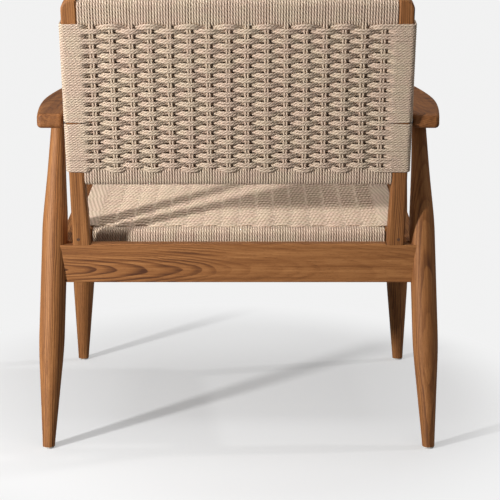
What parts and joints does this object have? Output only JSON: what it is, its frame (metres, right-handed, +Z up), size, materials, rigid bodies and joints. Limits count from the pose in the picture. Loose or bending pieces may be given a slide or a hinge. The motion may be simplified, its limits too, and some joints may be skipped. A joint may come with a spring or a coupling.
{
  "type": "lounge armchair",
  "caption": "Low wooden lounge armchair with turned spindle legs, flat paddle arms and a woven cord seat and leaning woven cord back.",
  "frame": {"origin": "on the floor, under the middle of the chair's bounding box", "axes": "+Z up, the sitter faces -Y, +X is the sitter's left"},
  "size_m": [0.721, 0.6772, 0.7811],
  "materials": {
    "teak": "oiled teak, straight grain with some cathedral figure",
    "dowel": "plain beech dowel",
    "plug": "dark wood plug",
    "cord": "natural twisted paper cord, unbleached",
    "steel": "zinc plated",
    "glide": "pale translucent nylon"
  },
  "bodies": {
    "root": {"arm_barrel_nuts": "steel", "arm_bolts": "steel", "arm_left": "teak", "arm_right": "teak", "arm_spacers": "steel", "back_bottom_rail": "teak", "back_dowels": "dowel", "back_front_weave": "cord", "back_rear_weave": "cord", "back_side_weave_left": "cord", "back_side_weave_right": "cord", "back_stile_left": "teak", "back_stile_right": "teak", "back_top_rail": "teak", "bottom_rail_wrap": "cord", "cleat_screws": "steel", "cord_tacks": "steel", "foot_dowels": "dowel", "foot_glides": "glide", "foot_plugs": "plug", "front_leg_left": "teak", "front_leg_right": "teak", "front_rail": "teak", "rear_apron": "teak", "rear_leg_left": "teak", "rear_leg_right": "teak", "seat_cleat_left": "teak", "seat_cleat_right": "teak", "seat_dowels": "dowel", "seat_front_rail": "teak", "seat_front_wrap": "cord", "seat_rear_rail": "teak", "seat_rear_wrap": "cord", "seat_screws": "steel", "seat_side_rail_left": "teak", "seat_side_rail_right": "teak", "seat_side_weave_left": "cord", "seat_side_weave_right": "cord", "seat_stretcher": "teak", "seat_top_weave": "cord", "seat_under_weave": "cord", "side_rail_left": "teak", "side_rail_right": "teak", "top_rail_wrap": "cord"}
  },
  "joints": []
}
